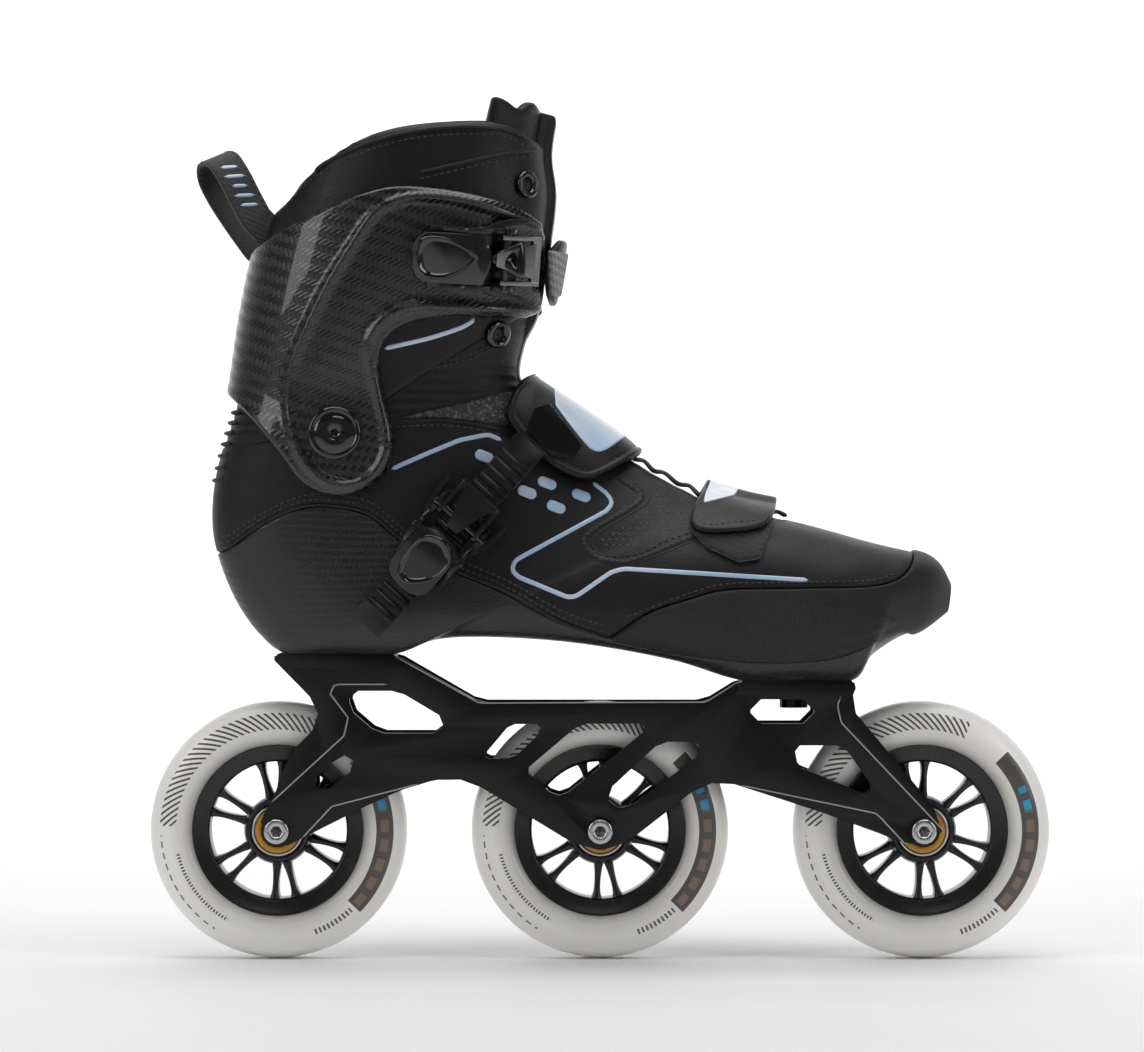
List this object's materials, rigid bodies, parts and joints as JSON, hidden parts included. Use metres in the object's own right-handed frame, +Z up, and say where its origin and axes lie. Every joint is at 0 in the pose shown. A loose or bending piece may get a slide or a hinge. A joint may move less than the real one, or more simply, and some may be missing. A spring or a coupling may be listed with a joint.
{
  "type": "inline skate",
  "caption": "Low-cut inline skate: carbon shell and cuff, padded boot with buckled straps, machined frame carrying large wheels in a line.",
  "frame": {"origin": "on the ground, straight under the middle axle, in the plane of the wheels", "axes": "+X towards the toe, +Y towards the inner (medial) side of the right foot, +Z up"},
  "size_m": [0.3852, 0.1184, 0.3653],
  "materials": {
    "frame_alloy": "black anodised, satin",
    "steel": "machined",
    "bearing": "ground steel with a yellow seal",
    "urethane": "translucent cast urethane",
    "core_plastic": "moulded, dark",
    "carbon": "clear-coated carbon twill",
    "microfibre": "satin synthetic leather",
    "toe_rubber": "fine ribbed",
    "padding": "padded lining",
    "buckle_plastic": "satin moulded",
    "strap_fabric": "woven",
    "grey_webbing": "ribbed webbing"
  },
  "bodies": {
    "foot": {"frame": "frame_alloy", "rear_mount_bolt": "steel", "rear_mount_washer": "steel", "front_mount_bolt": "steel", "front_mount_washer": "steel", "rear_bearing_sleeve": "steel", "rear_axle_bolt": "steel", "middle_bearing_sleeve": "steel", "middle_axle_bolt": "steel", "front_bearing_sleeve": "steel", "front_axle_bolt": "steel", "carbon_shell": "carbon", "foot_upper": "microfibre", "toe_guard": "toe_rubber", "ankle_gusset": "microfibre", "heel_padding": "padding", "insole": "padding", "tongue": "microfibre", "cuff_bolt_lateral": "buckle_plastic", "cuff_bolt_medial": "buckle_plastic", "instep_buckle_base": "buckle_plastic", "instep_buckle_pin": "steel", "instep_release_pin": "steel", "toe_strap": "strap_fabric", "hook_patch": "strap_fabric", "lace": "strap_fabric"},
    "rear_wheel": {"rear_tyre": "urethane", "rear_wheel_core": "core_plastic", "rear_bearing_outer_lateral": "bearing", "rear_bearing_outer_medial": "bearing"},
    "middle_wheel": {"middle_tyre": "urethane", "middle_wheel_core": "core_plastic", "middle_bearing_outer_lateral": "bearing", "middle_bearing_outer_medial": "bearing"},
    "front_wheel": {"front_tyre": "urethane", "front_wheel_core": "core_plastic", "front_bearing_outer_lateral": "bearing", "front_bearing_outer_medial": "bearing"},
    "shaft": {"ankle_collar": "microfibre", "ankle_padding": "padding", "cuff": "carbon", "cuff_buckle_base": "buckle_plastic", "cuff_buckle_pin": "steel", "cuff_buckle_bail_pin": "steel", "cuff_strap_webbing": "grey_webbing", "shin_pad": "padding", "pull_loop": "strap_fabric", "upper_eyelet_lateral": "steel", "upper_eyelet_medial": "steel", "lower_eyelet_lateral": "steel", "lower_eyelet_medial": "steel"},
    "cuff_lever": {"cuff_buckle_lever": "buckle_plastic"},
    "cuff_bail": {"cuff_buckle_bail": "steel"},
    "instep_lever": {"instep_buckle_lever": "buckle_plastic"},
    "instep_bracket": {"instep_release": "buckle_plastic"},
    "instep_strap": {"instep_ladder": "buckle_plastic", "instep_pad": "padding", "instep_strap_holder": "buckle_plastic"},
    "toe_flap": {"toe_strap_flap": "strap_fabric"}
  },
  "joints": [
    {"name": "rear_wheel_spin", "type": "hinge", "parent": "foot", "child": "rear_wheel", "pos_m": [-0.1376, 0, 0.055], "axis": [0, 1, 0], "continuous": true},
    {"name": "middle_wheel_spin", "type": "hinge", "parent": "foot", "child": "middle_wheel", "pos_m": [0, 0, 0.055], "axis": [0, 1, 0], "continuous": true},
    {"name": "front_wheel_spin", "type": "hinge", "parent": "foot", "child": "front_wheel", "pos_m": [0.1376, 0, 0.055], "axis": [0, 1, 0], "continuous": true},
    {"name": "cuff_flex", "type": "hinge", "parent": "foot", "child": "shaft", "pos_m": [-0.1115, 0, 0.224], "axis": [0, 1, 0], "range_deg": [-4, 10], "stiffness_Nm_per_rad": 20, "deforming": ["ankle_gusset", "tongue"]},
    {"name": "cuff_lever_open", "type": "hinge", "parent": "shaft", "child": "cuff_lever", "pos_m": [-0.05046, -0.05765, 0.29582], "axis": [0.0707, -0.1193, 0.9903], "range_deg": [0, 95]},
    {"name": "cuff_bail_lift", "type": "hinge", "parent": "shaft", "child": "cuff_bail", "pos_m": [-0.0397, -0.04973, 0.29601], "axis": [-0.0707, 0.1193, -0.9903], "range_deg": [0, 35]},
    {"name": "instep_lever_lift", "type": "hinge", "parent": "foot", "child": "instep_lever", "pos_m": [-0.06779, -0.05321, 0.1775], "axis": [-0.7428, 0.0403, 0.6683], "range_deg": [0, 60], "stiffness_Nm_per_rad": 0.12, "springref_deg": -11.46},
    {"name": "instep_release_lift", "type": "hinge", "parent": "foot", "child": "instep_bracket", "pos_m": [-0.05909, -0.04951, 0.18695], "axis": [0.7428, -0.0403, -0.6683], "range_deg": [0, 20], "stiffness_Nm_per_rad": 0.1, "springref_deg": -11.46},
    {"name": "instep_strap_slide", "type": "slide", "parent": "foot", "child": "instep_strap", "axis": [0.6695, 0.0462, 0.7414], "range_m": [0, 0.006]},
    {"name": "toe_flap_open", "type": "hinge", "parent": "foot", "child": "toe_flap", "pos_m": [0.058, -0.014, 0.1959], "axis": [-0.9696, 0, 0.2449], "range_deg": [0, 60]}
  ]
}
